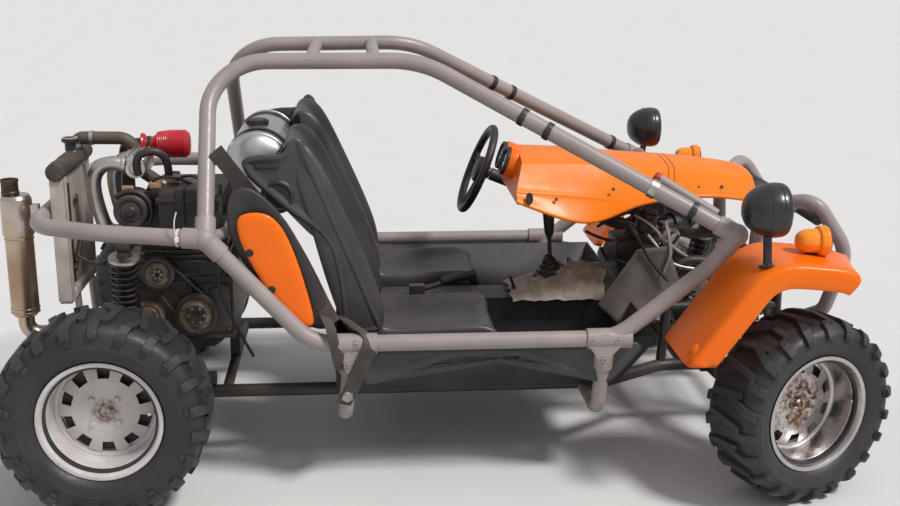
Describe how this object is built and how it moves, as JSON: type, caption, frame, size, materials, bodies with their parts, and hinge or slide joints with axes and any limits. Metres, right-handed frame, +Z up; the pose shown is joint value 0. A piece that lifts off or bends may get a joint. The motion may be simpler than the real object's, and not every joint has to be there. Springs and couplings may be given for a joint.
{
  "type": "two-seat dune buggy",
  "caption": "Open two-seat off-road buggy with a bent tube cage, orange nose and fenders, rear engine and knobbly tyres.",
  "frame": {"origin": "middle of the footprint at ground level, halfway along and across the buggy", "axes": "+X forward, +Y to the vehicle's left, +Z up; at rest the front wheels are steered 21 degrees to the left"},
  "size_m": [2.6055, 1.7317, 1.253],
  "materials": {
    "frame_paint": "satin silver-taupe paint",
    "chassis_black": "black paint, dusty",
    "orange_body": "glossy moulded orange",
    "black_plastic": "matt moulded dark grey",
    "cast_grey": "cast metal, oily and dusty",
    "filter_red": "red pleated filter",
    "radiator_alloy": "dusty aluminium",
    "hose_rubber": "matt moulded hose",
    "exhaust_steel": "brushed, heat tinted",
    "tank_steel": "satin steel",
    "belt_webbing": "woven webbing",
    "tyre_black": "dusty rubber",
    "rim_silver": "silver painted steel with rust"
  },
  "bodies": {
    "chassis": {"cage_right": "frame_paint", "cage_left": "frame_paint", "roof_bars": "frame_paint", "side_loop_right": "frame_paint", "side_loop_left": "frame_paint", "rear_frame": "frame_paint", "dash_bar": "frame_paint", "front_guard": "frame_paint", "lower_frame": "chassis_black", "nose_frame": "chassis_black", "front_arms": "chassis_black", "rear_arms": "chassis_black", "front_dampers": "chassis_black", "rear_dampers": "chassis_black", "steering_column": "chassis_black", "pulleys": "chassis_black", "nose": "orange_body", "fender_right": "orange_body", "fender_left": "orange_body", "side_scoops": "orange_body", "marker_lamps": "orange_body", "floor_tub": "black_plastic", "side_panels": "black_plastic", "seat_right": "black_plastic", "seat_left": "black_plastic", "headlamps": "black_plastic", "instruments": "black_plastic", "battery_box": "black_plastic", "pedals": "black_plastic", "levers": "black_plastic", "engine": "cast_grey", "gearbox": "cast_grey", "intake_runners": "cast_grey", "air_filter": "filter_red", "radiator": "radiator_alloy", "radiator_hose": "hose_rubber", "exhaust": "exhaust_steel", "fuel_tank": "tank_steel", "belts": "belt_webbing"},
    "wheel_rear_right": {"tyre_rear_right": "tyre_black", "rim_rear_right": "rim_silver"},
    "wheel_rear_left": {"tyre_rear_left": "tyre_black", "rim_rear_left": "rim_silver"},
    "wheel_front_right": {"tyre_front_right": "tyre_black", "rim_front_right": "rim_silver"},
    "wheel_front_left": {"tyre_front_left": "tyre_black", "rim_front_left": "rim_silver"},
    "knuckle_right": {"knuckle_right": "cast_grey"},
    "knuckle_left": {"knuckle_left": "cast_grey"},
    "steering_wheel": {"steering_wheel": "black_plastic"},
    "rack": {"steering_rack": "tank_steel"},
    "tie_rod_right": {"tie_rod_right": "tank_steel"},
    "tie_rod_left": {"tie_rod_left": "tank_steel"}
  },
  "joints": [
    {"name": "wheel_rear_right_spin", "type": "hinge", "parent": "chassis", "child": "wheel_rear_right", "pos_m": [-0.9648, -0.64, 0.296], "axis": [0, 1, 0], "continuous": true},
    {"name": "wheel_rear_left_spin", "type": "hinge", "parent": "chassis", "child": "wheel_rear_left", "pos_m": [-0.9648, 0.64, 0.296], "axis": [0, 1, 0], "continuous": true},
    {"name": "steer_right", "type": "hinge", "parent": "chassis", "child": "knuckle_right", "pos_m": [0.9852, -0.602, 0.275], "axis": [0, 0, 1], "range_deg": [-54, 12]},
    {"name": "steer_left", "type": "hinge", "parent": "chassis", "child": "knuckle_left", "pos_m": [0.9852, 0.602, 0.275], "axis": [0, 0, 1], "range_deg": [-54, 12]},
    {"name": "wheel_front_right_spin", "type": "hinge", "parent": "knuckle_right", "child": "wheel_front_right", "pos_m": [0.9852, -0.602, 0.275], "axis": [-0.3584, 0.9336, 0], "continuous": true},
    {"name": "wheel_front_left_spin", "type": "hinge", "parent": "knuckle_left", "child": "wheel_front_left", "pos_m": [0.9852, 0.602, 0.275], "axis": [-0.3584, 0.9336, 0], "continuous": true},
    {"name": "steering_wheel_turn", "type": "hinge", "parent": "chassis", "child": "steering_wheel", "pos_m": [0.1722, 0.3, 0.788], "axis": [-0.9272, 0, 0.3746], "range_deg": [-433, 97]},
    {"name": "rack_slide", "type": "slide", "parent": "chassis", "child": "rack", "axis": [0, 1, 0], "range_m": [-0.025, 0.1057]},
    {"name": "tie_rod_right_swing", "type": "hinge", "parent": "rack", "child": "tie_rod_right", "pos_m": [0.8652, -0.29032, 0.282], "axis": [0, 0, 1], "range_deg": [-2.54, 9.7]},
    {"name": "tie_rod_left_swing", "type": "hinge", "parent": "rack", "child": "tie_rod_left", "pos_m": [0.8652, 0.20968, 0.282], "axis": [0, 0, 1], "range_deg": [-2.67, 10.26]}
  ],
  "couplings": [
    {"joint": "steer_left", "follows": "steer_right", "ratio": 1},
    {"joint": "steering_wheel_turn", "follows": "steer_right", "ratio": 8},
    {"joint": "rack_slide", "follows": "steer_right", "m_per_rad": -0.11},
    {"joint": "tie_rod_right_swing", "follows": "steer_right", "ratio": -0.1704},
    {"joint": "tie_rod_left_swing", "follows": "steer_right", "ratio": -0.1808}
  ]
}
